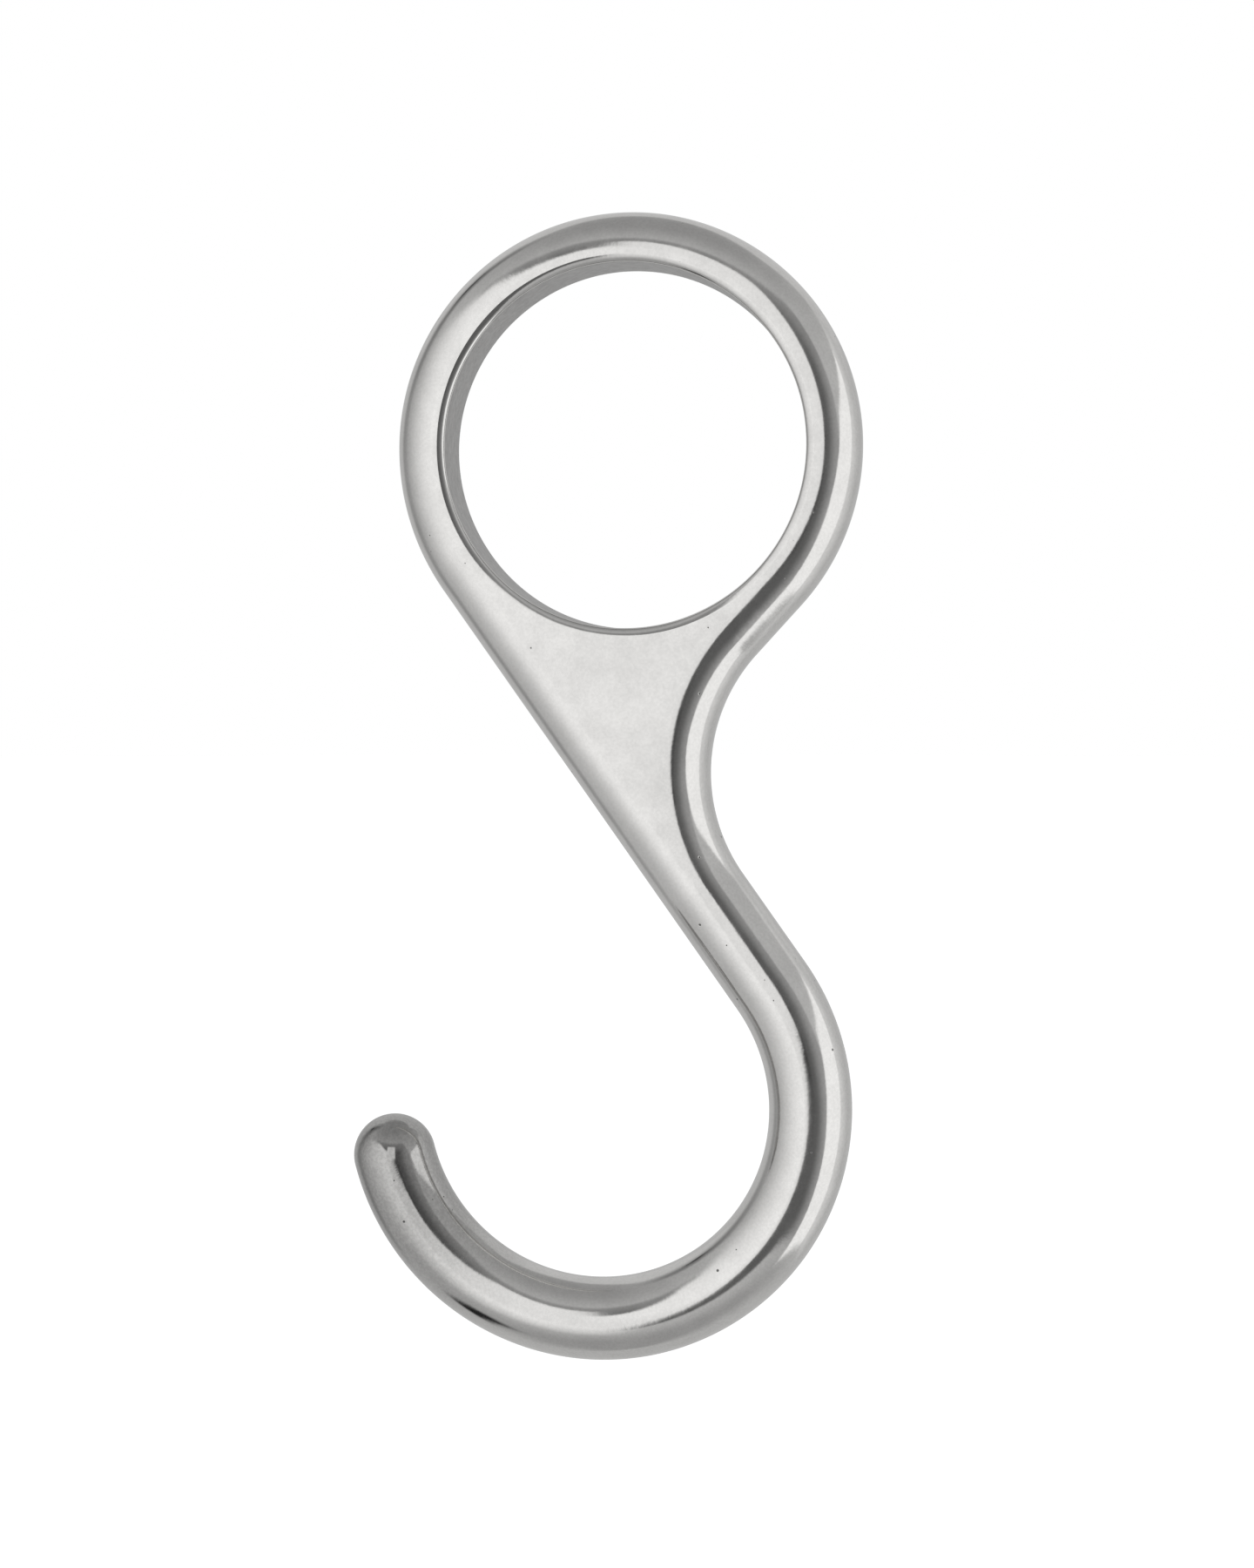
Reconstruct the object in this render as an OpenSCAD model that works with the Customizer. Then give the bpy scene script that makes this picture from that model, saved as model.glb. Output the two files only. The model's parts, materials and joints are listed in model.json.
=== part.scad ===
// Ring-and-hook belay device, cast and polished in one piece.
// It lies in the XZ plane. The eye's bore runs along Y through the origin, and the hook hangs below it.

/* [Eye] */
// Diameter of the bore through the eye
bore_d = 50; // [48:0.5:50]
// Outer diameter of the eye
eye_d = 65; // [65:0.5:65.5]
// Radius that rounds both edges of the bore
edge_r = 0.9; // [0.5:0.1:0.9]
// Outer radius of the eye's flank, where it runs down into the shank
flank_r = 34; // [33.5:0.5:35]

/* [Bar] */
// Diameter of the round bar, which is also the thickness of the whole piece
bar_d = 11.6; // [11.2:0.1:11.6]

/* [Shank] */
// Slope of the shank below the horizontal, in degrees
slope = 54.6; // [53.4:0.2:56]
// Length of the shank, from the flank to the hook
shank_len = 71.5; // [66:0.5:75]
// Length of the shank that the flat web lies along
web_len = 56.5; // [56.5:0.5:58]
// Radius of the hollow waist between the eye and the hook
waist_r = 24.2; // [20:0.2:24.2]

/* [Hook] */
// Inside diameter of the hook's bowl
bowl_d = 48.4; // [44:0.4:52]
// Angle that the hook bends through, in degrees
hook_bend = 201; // [180:1:205]

/* [Hidden] */
$fn = 120;

bar_r = bar_d / 2;
bore_r = bore_d / 2;

// Radii of the rim's middle line, which runs one bar radius inside the outline
eye_mid = eye_d / 2 - bar_r;
flank_mid = flank_r - bar_r;
waist_mid = waist_r + bar_r;
bowl_mid = bowl_d / 2 + bar_r;

// Directions down the shank and across it, towards the waist, and the bearing of the second one
down = [cos(slope), -sin(slope)];
across = [sin(slope), cos(slope)];
across_a = 90 - slope;

// Centres of the arcs, and the ends of the shank and of the web beside it
flank_o = [flank_mid - eye_mid, 0];
shank_top = flank_o - flank_mid * across;
shank_end = shank_top + shank_len * down;
web_end = shank_top + web_len * down;
waist_o = web_end + waist_mid * across;
bowl_o = shank_end - bowl_mid * across;

// The neck is the straight stretch that touches both the eye's arc and the waist's
neck_a = atan2(waist_o[1], waist_o[0]) + acos((eye_mid + waist_mid) / norm(waist_o));
neck_out = [cos(neck_a), sin(neck_a)];
neck_top = eye_mid * neck_out;
neck_end = waist_o - waist_mid * neck_out;
neck_len = norm(neck_end - neck_top);

// Bearing of the hook's tip from the bowl's centre
tip_a = across_a - hook_bend;

// Neighbouring stretches overlap by lap, and their radii differ by step, so their surfaces cross cleanly
lap = 0.5;
step = 0.01;
// Width of the flat strip on the inner side of each rim, and how far inside the middle line the web starts
strip = 0.3;
inset = 0.15;
// The lip that lines the bore stops this far short of the eye's middle line
lip_gap = 0.5;
lip_w = eye_mid - lip_gap - bore_r;

// Angle that a length takes up on an arc of radius r
function arc_angle(length, r) = length / r * 180 / PI;

// Half round of radius r on the +x side, with its flat strip on the -x side
module rim_section(r) {
  intersection() {
    circle(r = r);
    translate([0, -r]) square([r, 2 * r]);
  }
  translate([-strip, -r]) square([strip, 2 * r]);
}

// Section swept round centre o from bearing a0 to a1, with its middle at radius mid
module swept_arc(o, mid, a0, a1) {
  translate(o) rotate([0, 0, a0]) rotate_extrude(angle = a1 - a0) translate([mid, 0]) children();
}

// Section swept along a straight line from point p at bearing a; the section's +x is on the line's left
module swept_line(p, a, length) {
  translate(p) rotate([0, 0, a]) rotate([90, 0, 90]) linear_extrude(height = length) children();
}

// Outline of the flat web and of the flat ring round the bore
module web_outline() {
  difference() {
    union() {
      circle(r = eye_mid - inset);
      intersection() {
        translate(flank_o) circle(r = flank_mid - inset);
        polygon([
          flank_o,
          flank_o - [flank_r, 0],
          flank_o - [flank_r, flank_mid],
          flank_o - flank_r * across
        ]);
      }
      polygon([
        flank_o,
        shank_top + inset * across,
        web_end + inset * across,
        neck_end - inset * neck_out,
        neck_top - inset * neck_out,
        [0, 0]
      ]);
    }
    translate(waist_o) circle(r = waist_mid + inset);
    circle(r = bore_r + edge_r + inset);
  }
}

// Section of the lip that lines the bore, with both of its inner corners rounded
module lip_section() {
  translate([bore_r, edge_r - bar_r]) square([lip_w, bar_d - 2 * edge_r]);
  for (flip = [0, 1]) mirror([0, flip]) translate([bore_r + edge_r, bar_r - edge_r]) {
    square([lip_w - edge_r, edge_r]);
    intersection() {
      circle(r = edge_r);
      translate([-edge_r, 0]) square(edge_r);
    }
  }
}

// Rounded rim on the far side: the eye, its flank and the shank beside the web
module far_rim() {
  flank_lap = arc_angle(lap, flank_mid);
  swept_arc([0, 0], eye_mid, neck_a, 180) rim_section(bar_r);
  swept_arc(flank_o, flank_mid, 180 - flank_lap, 180 + across_a + flank_lap) rim_section(bar_r - step);
  swept_line(shank_top, -slope, web_len + lap) mirror([1, 0]) rim_section(bar_r - 2 * step);
}

// Rounded rim on the near side: the neck and the hollow waist
module near_rim() {
  waist_lap = arc_angle(lap, waist_mid);
  swept_line(neck_top + lap * [-neck_out[1], neck_out[0]], neck_a - 90, neck_len + 2 * lap)
    rim_section(bar_r - 2 * step);
  swept_arc(waist_o, waist_mid, 180 + neck_a, 180 + across_a + waist_lap)
    mirror([1, 0]) rim_section(bar_r - step);
}

// Round bar: the lower shank, the hook's bowl and its rounded tip
module hook_bar() {
  swept_line(web_end, -slope, shank_len - web_len) circle(r = bar_r);
  swept_arc(bowl_o, bowl_mid, tip_a, across_a + arc_angle(lap, bowl_mid)) circle(r = bar_r - step);
  translate(bowl_o) rotate([0, 0, tip_a]) translate([bowl_mid, 0]) sphere(r = bar_r);
}

// The whole casting
module hook_body() {
  color("silver") rotate([90, 0, 0]) {
    linear_extrude(height = bar_d, center = true) web_outline();
    rotate_extrude() lip_section();
    far_rim();
    near_rim();
    hook_bar();
  }
}

hook_body();
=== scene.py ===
import json
import math

import bpy
import bmesh
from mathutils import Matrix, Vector, noise
from mathutils.geometry import delaunay_2d_cdt
from mathutils.kdtree import KDTree

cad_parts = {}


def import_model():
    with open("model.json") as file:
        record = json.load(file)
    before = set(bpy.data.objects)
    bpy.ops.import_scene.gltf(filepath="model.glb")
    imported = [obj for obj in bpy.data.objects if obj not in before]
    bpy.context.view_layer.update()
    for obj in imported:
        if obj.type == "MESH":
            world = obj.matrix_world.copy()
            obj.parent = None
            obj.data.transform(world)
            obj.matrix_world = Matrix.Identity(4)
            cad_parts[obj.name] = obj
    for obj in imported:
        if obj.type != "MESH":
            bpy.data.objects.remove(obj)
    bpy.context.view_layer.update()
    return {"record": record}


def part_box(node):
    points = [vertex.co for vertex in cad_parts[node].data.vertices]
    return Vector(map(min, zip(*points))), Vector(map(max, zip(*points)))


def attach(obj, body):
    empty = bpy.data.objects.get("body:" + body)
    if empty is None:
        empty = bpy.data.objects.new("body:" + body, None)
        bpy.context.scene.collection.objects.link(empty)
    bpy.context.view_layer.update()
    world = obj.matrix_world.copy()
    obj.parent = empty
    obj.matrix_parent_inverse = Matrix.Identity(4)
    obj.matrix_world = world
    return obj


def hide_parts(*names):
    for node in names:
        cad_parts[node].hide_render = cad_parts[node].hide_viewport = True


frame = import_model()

# ---------------------------------------------------------------- sizes, in metres
MM = 0.001
body_low, body_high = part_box("hook_body")
mounts = {m["name"]: m for m in frame["record"]["mounts"]}

BAR_R = (body_high.y - body_low.y) / 2
EYE_R = body_high.z
BORE_R = mounts["eye_bore"]["dims"]["r_mm"] * MM
BOWL_R = 24.2 * MM
WAIST_R = 24.2 * MM
FLANK_R = 34.0 * MM
SHANK_LEN = 71.5 * MM
WEB_LEN = 56.5 * MM
SLOPE = math.radians(54.6)
HOOK_BEND = math.radians(201)

# Radii of the rim's middle line, one bar radius inside the outline
EYE_MID = EYE_R - BAR_R
FLANK_MID = FLANK_R - BAR_R
WAIST_MID = WAIST_R + BAR_R
BOWL_MID = BOWL_R + BAR_R

STEP = 0.45 * MM         # spacing of the mesh along the bar
FLAT_STEP = 0.8 * MM     # spacing of the mesh on the flat faces
ROUND = 48               # faces round half of the bar
WELD = 0.001 * MM        # points closer than this are one point

# Waves that hand polishing leaves: (depth, width, offset of the noise)
WAVES = (
    (0.018 * MM, 17 * MM, Vector((3.1, 7.4, 1.9))),
    (0.006 * MM, 6 * MM, Vector((11.3, 2.2, 5.7))),
    (0.003 * MM, 1.9 * MM, Vector((4.6, 9.1, 8.2))),
)

# The colour is darkened fully within the first distance of the tip's middle, and at full brightness past
# the second
TIP_DARKENING_NEAR = 8 * MM
TIP_DARKENING_FAR = 30 * MM


# ---------------------------------------------------------------- layout in the XZ plane
def bearing(angle):
    """Unit vector at an angle in the hook's own plane, from +X towards +Z."""
    return Vector((math.cos(angle), math.sin(angle)))


DOWN = bearing(-SLOPE)
ACROSS_A = math.pi / 2 - SLOPE
ACROSS = bearing(ACROSS_A)
EYE_O = Vector((0, 0))
FLANK_O = Vector((FLANK_MID - EYE_MID, 0))
SHANK_TOP = FLANK_O - FLANK_MID * ACROSS
SHANK_END = SHANK_TOP + SHANK_LEN * DOWN
WEB_END = SHANK_TOP + WEB_LEN * DOWN
WAIST_O = WEB_END + WAIST_MID * ACROSS
BOWL_O = SHANK_END - BOWL_MID * ACROSS
NECK_A = math.atan2(WAIST_O.y, WAIST_O.x) + math.acos((EYE_MID + WAIST_MID) / WAIST_O.length)
NECK_TOP = EYE_MID * bearing(NECK_A)
NECK_END = WAIST_O - WAIST_MID * bearing(NECK_A)
TIP_A = ACROSS_A - HOOK_BEND


def arc_line(centre, radius, start, end, side=1):
    """Points and side normals along an arc; side -1 turns the normals towards the centre."""
    count = max(2, round(abs(end - start) * radius / STEP))
    angles = [start + (end - start) * i / count for i in range(count + 1)]
    return [(centre + radius * bearing(a), side * bearing(a)) for a in angles]


def straight_line(start, end, normal):
    """Points and side normals along a straight stretch."""
    count = max(2, round((end - start).length / STEP))
    return [(start.lerp(end, i / count), normal) for i in range(count + 1)]


def joined(*stretches):
    """One line from several that follow each other, with the shared points kept once."""
    line = list(stretches[0])
    for stretch in stretches[1:]:
        line += stretch[1:]
    return line


FAR_LINE = joined(
    arc_line(EYE_O, EYE_MID, NECK_A, math.pi),
    arc_line(FLANK_O, FLANK_MID, math.pi, math.pi + ACROSS_A),
    straight_line(SHANK_TOP, WEB_END, -ACROSS),
)
NEAR_LINE = joined(
    straight_line(NECK_TOP, NECK_END, bearing(NECK_A)),
    arc_line(WAIST_O, WAIST_MID, math.pi + NECK_A, math.pi + ACROSS_A, side=-1),
)
HOOK_LINE = joined(
    straight_line(WEB_END, SHANK_END, ACROSS),
    arc_line(BOWL_O, BOWL_MID, ACROSS_A, TIP_A),
)
# Bore edge, from the flat face inward: (radius, turn from, turn to) of each rounded stretch
LIP_ROUNDS = (
    (0.5 * MM, 0.0, math.radians(14)),
    (3.4 * MM, math.radians(14), math.radians(24)),
    (0.8 * MM, math.radians(24), math.pi / 2),
)
LIP_STEPS = 5
LIP_W = sum(radius * (math.sin(end) - math.sin(start)) for radius, start, end in LIP_ROUNDS)
LIP_LINE = arc_line(EYE_O, BORE_R + LIP_W, 0, 2 * math.pi)


# ---------------------------------------------------------------- mesh of the casting
def lift(point, y):
    """Point of the hook's plane, moved out to a depth y."""
    return Vector((point.x, y, point.y))


def sweep(mesh, line, section, closed=False):
    """Quads swept along a line. section lists (distance along the side normal, y)."""
    rings = [[mesh.verts.new(lift(p + n * d, y)) for d, y in section] for p, n in line]
    count = len(section)
    for ring, following in zip(rings, rings[1:]):
        for i in range(count if closed else count - 1):
            j = (i + 1) % count
            mesh.faces.new((ring[i], ring[j], following[j], following[i]))
    return rings


def circle_section(start, end, steps):
    """Points of the bar's round section between two angles; angle 0 points along the side normal."""
    angles = [start + (end - start) * i / steps for i in range(steps + 1)]
    return [(BAR_R * math.cos(a), BAR_R * math.sin(a)) for a in angles]


def add_rims(mesh):
    """Half-round outer edges of the eye and the web, on the shank's side and on the waist's."""
    half_round = circle_section(-math.pi / 2, math.pi / 2, ROUND)
    sweep(mesh, FAR_LINE, half_round)
    sweep(mesh, NEAR_LINE, half_round)


def add_hook_bar(mesh):
    """Round bar from the end of the web to the tip."""
    full_round = circle_section(-math.pi / 2, math.pi * 3 / 2, 2 * ROUND)[:-1]
    rings = sweep(mesh, HOOK_LINE, full_round, closed=True)
    add_tip(mesh, full_round, rings[-1])


def add_tip(mesh, section, last_ring):
    """Rounded end of the hook, in rings that shrink to a point."""
    centre, normal = HOOK_LINE[-1]
    onward = Vector((normal.y, -normal.x))
    steps = ROUND // 2
    ring = last_ring
    for k in range(1, steps):
        turn = math.pi / 2 * k / steps
        place = centre + onward * BAR_R * math.sin(turn)
        shrink = math.cos(turn)
        following = [mesh.verts.new(lift(place + normal * d * shrink, y * shrink)) for d, y in section]
        for i in range(len(ring)):
            j = (i + 1) % len(ring)
            mesh.faces.new((ring[i], ring[j], following[j], following[i]))
        ring = following
    pole = mesh.verts.new(lift(centre + onward * BAR_R, 0))
    for i in range(len(ring)):
        mesh.faces.new((ring[i], ring[(i + 1) % len(ring)], pole))


def lip_section():
    """Front half of the bore's edge: a curved bevel that turns into a small round.

    Points are (distance outward from the bore wall, depth below the face).
    """
    points = [(LIP_W, 0.0)]
    for radius, start, end in LIP_ROUNDS:
        out, depth = points[-1]
        for i in range(1, LIP_STEPS + 1):
            angle = start + (end - start) * i / LIP_STEPS
            points.append((
                out - radius * (math.sin(angle) - math.sin(start)),
                depth + radius * (math.cos(start) - math.cos(angle)),
            ))
    return points


def add_bore(mesh):
    """Bore wall with its two bevelled edges."""
    lip = lip_section()
    depth = lip[-1][1]
    front = [(out - LIP_W, -BAR_R + down) for out, down in lip]
    wall_low, wall_high = -BAR_R + depth, BAR_R - depth
    wall = [(-LIP_W, wall_low + (wall_high - wall_low) * i / LIP_STEPS) for i in range(1, LIP_STEPS)]
    back = [(d, -y) for d, y in reversed(front)]
    sweep(mesh, LIP_LINE, front + wall + back)


def inside_web(point, margin):
    """True where a point of the flat web is at least margin from its edges."""
    if (point - EYE_O).length < BORE_R + LIP_W + margin:
        return False
    if (point - SHANK_TOP).dot(ACROSS) < margin or (point - WAIST_O).length < WAIST_MID + margin:
        return False
    past_neck = (point - NECK_TOP).dot(bearing(NECK_A)) > -margin
    past_flank = (point - FLANK_O).length > FLANK_MID - margin and (point - SHANK_TOP).dot(DOWN) < 0
    return not past_neck and not past_flank and (point - WEB_END).dot(DOWN) < 0


def add_flats(mesh):
    """Flat faces of the web and of the ring round the bore, front and back."""
    outer = [p for p, n in FAR_LINE] + [p for p, n in reversed(NEAR_LINE[1:-1])]
    inner = [p for p, n in LIP_LINE[:-1]]
    columns = math.ceil(EYE_R / FLAT_STEP)
    row_height = FLAT_STEP * math.sqrt(3) / 2
    grid = [
        Vector(((i + 0.5 * (k % 2)) * FLAT_STEP, -k * row_height))
        for k in range(math.ceil(-WEB_END.y / row_height))
        for i in range(-columns, columns)
    ]
    filling = [p for p in grid if inside_web(p, 0.5 * FLAT_STEP)]
    points = outer + inner + filling
    first = len(outer)
    edges = [(i, (i + 1) % first) for i in range(first)]
    edges += [(first + i, first + (i + 1) % len(inner)) for i in range(len(inner))]
    inside_only, merge = 1, 1e-9
    places, _, faces, _, _, _ = delaunay_2d_cdt(points, edges, [], inside_only, merge)
    for y, flip in ((-BAR_R, False), (BAR_R, True)):
        corners = [mesh.verts.new(lift(p, y)) for p in places]
        for face in faces:
            if all(places[i].length < BORE_R + LIP_W + WELD for i in face):
                continue  # inside the bore: every corner lies on its edge
            ring = [corners[i] for i in face]
            mesh.faces.new(reversed(ring) if flip else ring)
        for corner in [v for v in corners if not v.link_faces]:
            mesh.verts.remove(corner)


def polish_waves(mesh):
    """Presses the surface in by a few hundredths of a millimetre, as hand polishing does."""
    mesh.normal_update()
    moves = []
    for vert in mesh.verts:
        depth = 0.0
        for height, width, offset in WAVES:
            depth += height * (1 + noise.noise(vert.co / width + offset))
        moves.append(-depth * vert.normal)
    for vert, move in zip(mesh.verts, moves):
        vert.co += move


def smooth(value, start, end):
    """0 before start, 1 past end, with a smooth rise between."""
    t = min(max((value - start) / (end - start), 0.0), 1.0)
    return t * t * (3 - 2 * t)


def mark_finish(mesh):
    """Marks flat faces, the bore wall, the stretch near the tip where the colour darkens and the place
    along the bar, for the material.
    """
    flat_depth = BAR_R * 0.9995
    bore_limit = BORE_R + 0.05 * MM
    stations = FAR_LINE + HOOK_LINE + NEAR_LINE
    tree = KDTree(len(stations))
    for i, (point, _) in enumerate(stations):
        tree.insert(lift(point, 0), i)
    tree.balance()
    layers = {name: mesh.verts.layers.float.new(name) for name in ("flat", "bore", "tip_darkening", "run")}
    tip = lift(HOOK_LINE[-1][0], 0)
    for vert in mesh.verts:
        point = Vector((vert.co.x, vert.co.z))
        on_web = (point - WEB_END).dot(DOWN) < 0
        vert[layers["flat"]] = float(on_web and abs(vert.co.y) > flat_depth)
        vert[layers["bore"]] = float(point.length < bore_limit)
        # how strongly the colour is darkened towards the tip
        vert[layers["tip_darkening"]] = smooth((vert.co - tip).length, TIP_DARKENING_FAR, TIP_DARKENING_NEAR)
        _, nearest, _ = tree.find(lift(point, 0))
        vert[layers["run"]] = nearest * STEP / MM


def casting():
    """The whole hook as one closed mesh."""
    mesh = bmesh.new()
    add_rims(mesh)
    add_hook_bar(mesh)
    add_bore(mesh)
    add_flats(mesh)
    bmesh.ops.remove_doubles(mesh, verts=mesh.verts, dist=WELD)
    bmesh.ops.recalc_face_normals(mesh, faces=mesh.faces)
    mark_finish(mesh)
    polish_waves(mesh)
    data = bpy.data.meshes.new("hook_casting")
    mesh.to_mesh(data)
    mesh.free()
    data.shade_smooth()
    piece = bpy.data.objects.new("hook_casting", data)
    bpy.context.scene.collection.objects.link(piece)
    return piece


# ---------------------------------------------------------------- shader steps
def node(tree, kind, **settings):
    """New shader node with its settings."""
    made = tree.nodes.new(kind)
    for key, value in settings.items():
        setattr(made, key, value)
    return made


def ramp(tree, value, start, end):
    """0 before start, 1 past end, with a smooth rise between."""
    rise = node(tree, "ShaderNodeMapRange", interpolation_type="SMOOTHSTEP")
    tree.links.new(value, rise.inputs["Value"])
    rise.inputs["From Min"].default_value = start
    rise.inputs["From Max"].default_value = end
    return rise.outputs["Result"]


def math_node(tree, operation, *values):
    """One math step; values are sockets or plain numbers."""
    step = node(tree, "ShaderNodeMath", operation=operation)
    for socket, value in zip(step.inputs, values):
        if isinstance(value, (int, float)):
            socket.default_value = value
        else:
            tree.links.new(value, socket)
    return step.outputs[0]


def blend_level(tree, mask, under, over):
    """The value over where the mask is 1, the value under where it is 0, and a mix between."""
    mix = node(tree, "ShaderNodeMix", data_type="FLOAT")
    for name, value in (("Factor", mask), ("A", under), ("B", over)):
        if isinstance(value, (int, float)):
            mix.inputs[name].default_value = value
        else:
            tree.links.new(value, mix.inputs[name])
    return mix.outputs["Result"]


# ---------------------------------------------------------------- materials
METAL_TINT = (0.74, 0.732, 0.718)
WHITE = (1, 1, 1, 1)
FLOOR_COLOR = (0.85, 0.85, 0.85, 1)
FLOOR_ROUGH = 0.9
FLOOR_GLOW = 0.65

# Widths of the metal's patterns, in millimetres
BLOT_W = 4.2
STREAK_W = 1.1
GRAIN_W = 0.7
BRUSH_W = 0.5
SPECK_W = 0.4

# Pits: (width of the cells in millimetres, radius as a part of a cell, share of cells with a pit)
LARGE_PITS = (2.6, 0.085, 0.10)
SMALL_PITS = (1.3, 0.09, 0.07)

# Heights of the fine relief, in metres
GRAIN_RELIEF = 4e-6
BRUSH_RELIEF = 1.5e-6
PIT_DEPTH = 6e-5

# Brightness of the metal, as factors of its tint: (least, most) of each pattern
BLOT_SHADE = (0.955, 1.025)
# painted shade inside the bore, made uneven by streaks
BORE_PAINTED_SHADE = (0.54, 0.70)
SPECK_TOP = 1.02
SPECK_LOW = 0.96
# near the tip the specks reach darker
TIP_DARKENING_SPECK_LOW = 0.86
# painted highlight: the flat faces' colour is raised by this factor to brighten their reflections
FLAT_PAINTED_HIGHLIGHT = 1.06
# the colour darkens towards the tip by this factor
TIP_DARKENING_SHADE = 0.68
# painted shade: the colour inside a pit drops by this factor
PIT_PAINTED_SHADE = 0.25

# Roughness where the blots are least and most
ROUND_ROUGH = (0.07, 0.13)
FLAT_ROUGH = (0.24, 0.18)
BORE_ROUGH = 0.36
PIT_ROUGH = 0.3          # added inside a pit


def attribute(tree, name):
    """Value that mark_finish left on the mesh."""
    return node(tree, "ShaderNodeAttribute", attribute_name=name).outputs["Fac"]


def noise_texture(tree, coordinates, width_mm, detail=2.0, roughness=0.5):
    """Noise from 0 to 1 whose largest blots are about width_mm across."""
    texture = node(tree, "ShaderNodeTexNoise")
    tree.links.new(coordinates, texture.inputs["Vector"])
    texture.inputs["Scale"].default_value = 1 / width_mm
    texture.inputs["Detail"].default_value = detail
    texture.inputs["Roughness"].default_value = roughness
    return texture.outputs["Fac"]


def spread(tree, pattern):
    """The middle of a noise pattern's range, spread over 0 to 1."""
    return ramp(tree, pattern, 0.3, 0.7)


def pit_mask(tree, coordinates, pits):
    """Round pits: one in each cell of a Voronoi pattern, kept in a share of the cells."""
    cell_mm, size, share = pits
    cells = node(tree, "ShaderNodeTexVoronoi")
    tree.links.new(coordinates, cells.inputs["Vector"])
    cells.inputs["Scale"].default_value = 1 / cell_mm
    inside = ramp(tree, cells.outputs["Distance"], size, size * 0.4)
    chosen = node(tree, "ShaderNodeSeparateColor")
    tree.links.new(cells.outputs["Color"], chosen.inputs["Color"])
    kept = math_node(tree, "LESS_THAN", chosen.outputs["Red"], share)
    return math_node(tree, "MULTIPLY", inside, kept)


def tinted(tree, blots, flat, bore, tip_darkening, pits, place):
    """Colour of the metal: blots and specks, flats brightened as painted highlight, a streaked bore and
    the pits darkened as painted shade, darker towards the tip.
    """
    specks = spread(tree, noise_texture(tree, place, SPECK_W, 2.0, 0.5))
    streaks = spread(tree, noise_texture(tree, place, STREAK_W, 4.0, 0.7))
    speck_low = blend_level(tree, tip_darkening, SPECK_LOW, TIP_DARKENING_SPECK_LOW)
    # painted shade for the bore, streaked
    bore_painted_shade = blend_level(tree, streaks, *BORE_PAINTED_SHADE)
    shade = blend_level(tree, blots, *BLOT_SHADE)
    for factor in (
        blend_level(tree, specks, speck_low, SPECK_TOP),
        # painted highlight: brighter colour on the flat faces
        blend_level(tree, flat, 1.0, FLAT_PAINTED_HIGHLIGHT),
        # darker colour towards the tip
        blend_level(tree, tip_darkening, 1.0, TIP_DARKENING_SHADE),
        # painted shade inside the bore
        blend_level(tree, bore, 1.0, bore_painted_shade),
        # painted shade in the pits
        blend_level(tree, pits, 1.0, PIT_PAINTED_SHADE),
    ):
        shade = math_node(tree, "MULTIPLY", shade, factor)
    tint = node(tree, "ShaderNodeVectorMath", operation="SCALE")
    tint.inputs[0].default_value = METAL_TINT
    tree.links.new(shade, tint.inputs["Scale"])
    return tint.outputs["Vector"]


def roughness(tree, blots, flat, bore, pits):
    """Roughness: polished rounds, satin flats, a rougher bore and pits."""
    rough = blend_level(tree, blots, *ROUND_ROUGH)
    rough = blend_level(tree, flat, rough, blend_level(tree, blots, *FLAT_ROUGH))
    rough = blend_level(tree, bore, rough, BORE_ROUGH)
    return math_node(tree, "MULTIPLY_ADD", pits, PIT_ROUGH, rough)


def relief(tree, pits, place):
    """Normal of the fine relief: grain, brush lines across the bar, pits."""
    grain = noise_texture(tree, place, GRAIN_W, 3.0, 0.6)
    brushed = node(tree, "ShaderNodeCombineXYZ")
    tree.links.new(attribute(tree, "run"), brushed.inputs["X"])
    brush = noise_texture(tree, brushed.outputs[0], BRUSH_W, 2.0)
    height = math_node(tree, "MULTIPLY", grain, GRAIN_RELIEF)
    height = math_node(tree, "MULTIPLY_ADD", brush, BRUSH_RELIEF, height)
    height = math_node(tree, "MULTIPLY_ADD", pits, -PIT_DEPTH, height)
    bump = node(tree, "ShaderNodeBump")
    bump.inputs["Distance"].default_value = 1.0
    tree.links.new(height, bump.inputs["Height"])
    return bump.outputs["Normal"]


def polished_metal():
    """Buffed cast metal: clear reflections on the rounds, satin flats with a painted highlight, a rough
    bore, fine pits, painted shade in bore and pits, darker towards the tip.
    """
    material = bpy.data.materials.new("polished_metal")
    material.use_nodes = True
    tree = material.node_tree
    shader = tree.nodes["Principled BSDF"]
    shader.inputs["Metallic"].default_value = 1

    in_mm = node(tree, "ShaderNodeVectorMath", operation="SCALE")
    tree.links.new(node(tree, "ShaderNodeTexCoord").outputs["Object"], in_mm.inputs[0])
    in_mm.inputs["Scale"].default_value = 1 / MM
    place = in_mm.outputs["Vector"]
    flat, bore, tip_darkening = (attribute(tree, name) for name in ("flat", "bore", "tip_darkening"))
    blots = ramp(tree, noise_texture(tree, place, BLOT_W, 6.0, 0.62), 0.28, 0.72)
    pits = math_node(
        tree, "MAXIMUM", pit_mask(tree, place, LARGE_PITS), pit_mask(tree, place, SMALL_PITS)
    )
    tree.links.new(tinted(tree, blots, flat, bore, tip_darkening, pits, place), shader.inputs["Base Color"])
    tree.links.new(roughness(tree, blots, flat, bore, pits), shader.inputs["Roughness"])
    tree.links.new(relief(tree, pits, place), shader.inputs["Normal"])
    return material


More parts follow.
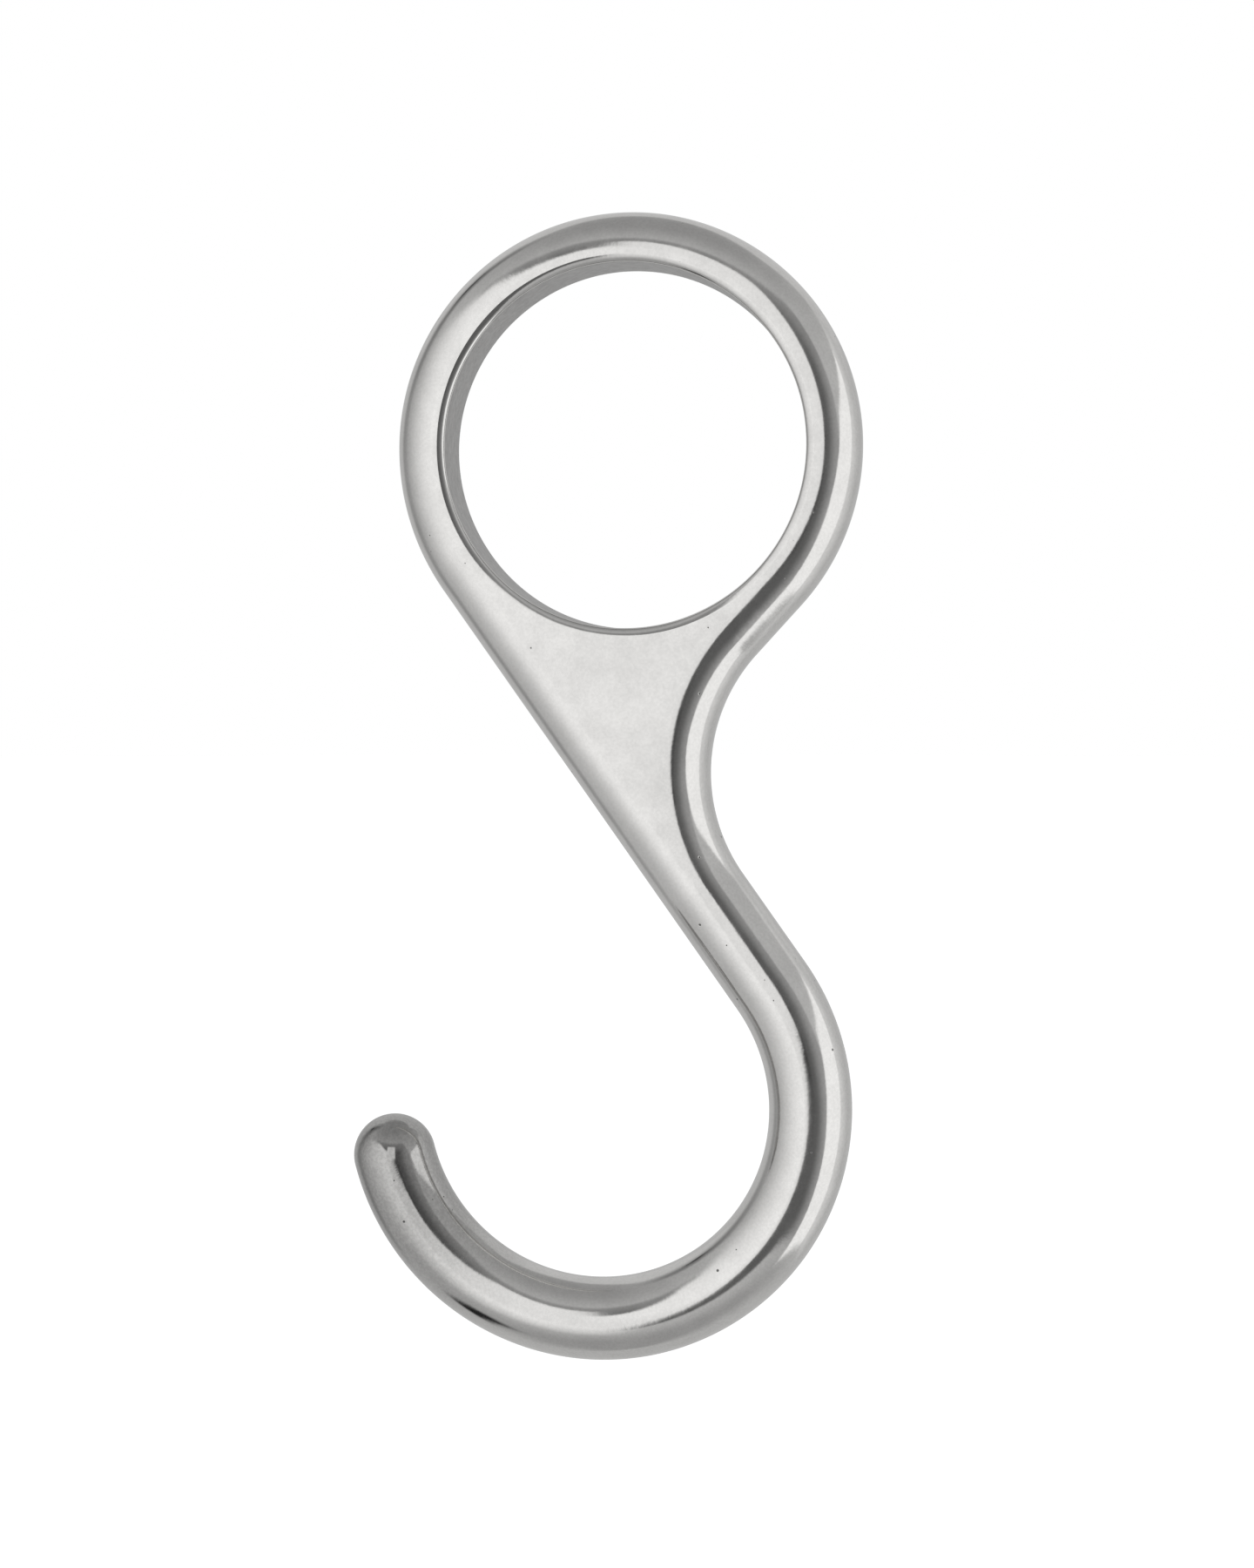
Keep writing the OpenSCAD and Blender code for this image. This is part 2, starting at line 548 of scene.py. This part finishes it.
def floor_white():
    """Bright white paper, seen only from above."""
    material = bpy.data.materials.new("floor_white")
    material.use_nodes = True
    tree = material.node_tree
    shader = tree.nodes["Principled BSDF"]
    shader.inputs["Base Color"].default_value = FLOOR_COLOR
    shader.inputs["Roughness"].default_value = FLOOR_ROUGH
    shader.inputs["Emission Color"].default_value = WHITE
    shader.inputs["Emission Strength"].default_value = FLOOR_GLOW
    below = node(tree, "ShaderNodeNewGeometry").outputs["Backfacing"]
    mix = node(tree, "ShaderNodeMixShader")
    tree.links.new(below, mix.inputs["Fac"])
    tree.links.new(shader.outputs[0], mix.inputs[1])
    tree.links.new(node(tree, "ShaderNodeBsdfTransparent").outputs[0], mix.inputs[2])
    tree.links.new(mix.outputs[0], tree.nodes["Material Output"].inputs["Surface"])
    return material


# ---------------------------------------------------------------- camera
CAMERA_AZIMUTH = math.radians(8.0)     # to the right of the hook's front
CAMERA_HEIGHT = math.radians(2.4)      # above it
CAMERA_DISTANCE = 0.4134
CAMERA_AIM = Vector((-0.0003, 0, -0.0467))
LENS = 68
SENSOR = 36


def camera():
    """Camera at the photograph's viewing angle: a little to the right and a little above."""
    data = bpy.data.cameras.new("camera")
    data.lens = LENS
    data.sensor_width = SENSOR
    data.clip_start = 10 * MM
    cam = bpy.data.objects.new("camera", data)
    bpy.context.scene.collection.objects.link(cam)
    back = Vector((
        math.sin(CAMERA_AZIMUTH) * math.cos(CAMERA_HEIGHT),
        -math.cos(CAMERA_AZIMUTH) * math.cos(CAMERA_HEIGHT),
        math.sin(CAMERA_HEIGHT),
    ))
    cam.location = CAMERA_AIM + back * CAMERA_DISTANCE
    cam.rotation_mode = "QUATERNION"
    cam.rotation_quaternion = (-back).to_track_quat("-Z", "Y")
    bpy.context.scene.camera = cam


# ---------------------------------------------------------------- studio light
# Each light is a panel of directions seen from the hook. Azimuth is 0 towards the viewer and grows
# to the right, elevation grows upward, and both are in degrees. Levels are display brightness.
def radiance(display):
    """Light that a polished face of the metal turns into this display brightness, by the sRGB curve."""
    return ((display + 0.055) / 1.055) ** 2.4 / METAL_TINT[1]


def panel_mask(tree, x_range, y_range, x_soft, y_soft):
    """Soft-edged rectangle. Each range is (socket, from, to), each softness in degrees."""
    mask = 1.0
    for (value, start, end), soft in ((x_range, x_soft), (y_range, y_soft)):
        mask = math_node(tree, "MULTIPLY", mask, ramp(tree, value, start - soft, start + soft))
        mask = math_node(tree, "MULTIPLY", mask, ramp(tree, value, end + soft, end - soft))
    return mask


def leaning(tree, value, slope, other):
    """value + slope * other, for a panel whose edge leans."""
    return math_node(tree, "MULTIPLY_ADD", other, slope, value)


def room(tree, azimuth, elevation):
    """Plain walls, ceiling and table, a little darker overhead and in front."""
    wall, ceiling, near_table, far_table = (radiance(display) for display in (0.67, 0.54, 0.56, 0.66))
    level = blend_level(tree, ramp(tree, elevation, 20, 80), wall, ceiling)
    turn = math_node(tree, "ABSOLUTE", azimuth)
    table = blend_level(tree, ramp(tree, turn, 30, 130), near_table, far_table)
    return blend_level(tree, ramp(tree, elevation, -25, -60), level, table)


def dark_wall(tree, azimuth, elevation, level):
    """Unlit wall behind the camera, with the lights standing in front of it."""
    middle, right, top = (radiance(display) for display in (0.34, 0.56, 0.51))
    past_camera = math_node(tree, "MAXIMUM", math_node(tree, "SUBTRACT", azimuth, 16.0), 0.0)
    sloped = leaning(tree, elevation, 0.36, past_camera)
    side = leaning(tree, azimuth, 0.45, math_node(tree, "MAXIMUM", elevation, 0.0))
    mask = panel_mask(tree, (side, -34, 58), (sloped, -26, 90), 3, 2)
    mask = math_node(tree, "MULTIPLY", mask, ramp(tree, elevation, 42, 34))
    shade = blend_level(tree, ramp(tree, azimuth, 20, 50), middle, right)
    shade = blend_level(tree, ramp(tree, elevation, 12, 36), shade, top)
    return blend_level(tree, mask, level, shade)


def left_window(tree, azimuth, elevation, level):
    """Large window, brightest beside the camera, with its upper right corner cut off."""
    far_side, near_side, bottom = (radiance(display) for display in (0.56, 0.90, 0.68))
    glow = blend_level(tree, ramp(tree, azimuth, -118, -12), far_side, near_side)
    glow = blend_level(tree, ramp(tree, elevation, -10, -44), glow, bottom)
    mask = panel_mask(tree, (azimuth, -104, -6), (elevation, -35, 34), 2, 5)
    corner = leaning(tree, elevation, 0.67, azimuth)
    mask = math_node(tree, "MULTIPLY", mask, ramp(tree, corner, 12, 7))
    return blend_level(tree, mask, level, glow)


def camera_stand(tree, azimuth, elevation, level):
    """The camera and the person behind it, darkest of all that the hook reflects."""
    mask = panel_mask(tree, (azimuth, 5, 16), (elevation, -7, 8), 5, 6)
    return blend_level(tree, mask, level, radiance(0.20))


def small_window(tree, azimuth, elevation, level):
    """Window above the camera, with its lower edge on a slant."""
    mask = panel_mask(tree, (azimuth, -10, 13), (elevation, -30, 29), 2, 2)
    above_slant = ramp(tree, leaning(tree, elevation, -0.6, azimuth), -10, -6)
    return blend_level(tree, math_node(tree, "MULTIPLY", mask, above_slant), level, radiance(0.86))


def strip_light(tree, azimuth, elevation, level):
    """Tall strip on the right with a slanting top: sharp inside, with a dimmer band outside."""
    strip, band_near, band_far = (radiance(display) for display in (0.91, 0.78, 0.69))
    inner = leaning(tree, azimuth, -0.5, math_node(tree, "MAXIMUM", elevation, -8.0))
    mask = panel_mask(tree, (inner, 54, 130), (elevation, -44, 60), 1.5, 2)
    below_top = ramp(tree, leaning(tree, elevation, -0.45, azimuth), -13, -17)
    mask = math_node(tree, "MULTIPLY", mask, below_top)
    band = blend_level(tree, ramp(tree, azimuth, 98, 128), band_near, band_far)
    level = blend_level(tree, mask, level, band)
    bright = ramp(tree, leaning(tree, azimuth, -0.12, elevation), 100, 95)
    return blend_level(tree, math_node(tree, "MULTIPLY", mask, bright), level, strip)


def dark_stands(tree, azimuth, elevation, level):
    """Dark gap beyond the left window, and two small dark stands."""
    gap = panel_mask(tree, (azimuth, -118, -100), (elevation, -36, 58), 8, 8)
    depth = blend_level(tree, ramp(tree, elevation, 0, 40), radiance(0.54), radiance(0.44))
    level = blend_level(tree, gap, level, depth)
    stand = panel_mask(tree, (azimuth, -118, -110), (elevation, 36, 44), 3, 3)
    level = blend_level(tree, stand, level, radiance(0.25))
    foot = panel_mask(tree, (azimuth, -88, -50), (elevation, -60, -51), 8, 3)
    return blend_level(tree, foot, level, radiance(0.12))


def rear_window(tree, azimuth, elevation, level):
    """High window behind the hook, above what the bore wall reflects to a viewer in front."""
    turn = math_node(tree, "SUBTRACT", 180.0, math_node(tree, "ABSOLUTE", azimuth))
    window = panel_mask(tree, (turn, -52, 52), (elevation, 20, 58), 5, 4)
    return blend_level(tree, window, level, radiance(0.71))


# Later lights stand in front of earlier ones
LIGHTS = (dark_wall, left_window, camera_stand, small_window, strip_light, dark_stands, rear_window)


def world():
    """Studio lights by direction, on a white background for the camera."""
    made = bpy.data.worlds.new("studio")
    made.use_nodes = True
    tree = made.node_tree
    direction = node(tree, "ShaderNodeSeparateXYZ")
    tree.links.new(node(tree, "ShaderNodeTexCoord").outputs["Generated"], direction.inputs[0])
    x, y, z = direction.outputs
    to_viewer = math_node(tree, "MULTIPLY", y, -1.0)
    azimuth = math_node(tree, "DEGREES", math_node(tree, "ARCTAN2", x, to_viewer))
    elevation = math_node(tree, "DEGREES", math_node(tree, "ARCSINE", z))
    level = room(tree, azimuth, elevation)
    for light in LIGHTS:
        level = light(tree, azimuth, elevation, level)
    background = tree.nodes["Background"]
    seen = node(tree, "ShaderNodeLightPath").outputs["Is Camera Ray"]
    tree.links.new(blend_level(tree, seen, level, 1.0), background.inputs["Strength"])
    background.inputs["Color"].default_value = WHITE
    bpy.context.scene.world = made


# ---------------------------------------------------------------- floor
FLOOR_R = 3.0
FLOOR_GAP = 12 * MM
FLOOR_SIDES = 96


def floor():
    """Pale floor just below the hook, lit like the background and left out of its reflections."""
    mesh = bmesh.new()
    bmesh.ops.create_circle(mesh, cap_ends=True, segments=FLOOR_SIDES, radius=FLOOR_R)
    bmesh.ops.translate(mesh, verts=mesh.verts, vec=(0, 0, body_low.z - FLOOR_GAP))
    data = bpy.data.meshes.new("floor")
    mesh.to_mesh(data)
    mesh.free()
    plane = bpy.data.objects.new("floor", data)
    data.materials.append(floor_white())
    bpy.context.scene.collection.objects.link(plane)
    plane.visible_glossy = False


camera()
world()
floor()
hook = casting()
hook.data.materials.append(polished_metal())
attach(hook, "root")
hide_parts("hook_body")
bpy.context.scene.view_settings.view_transform = "Standard"
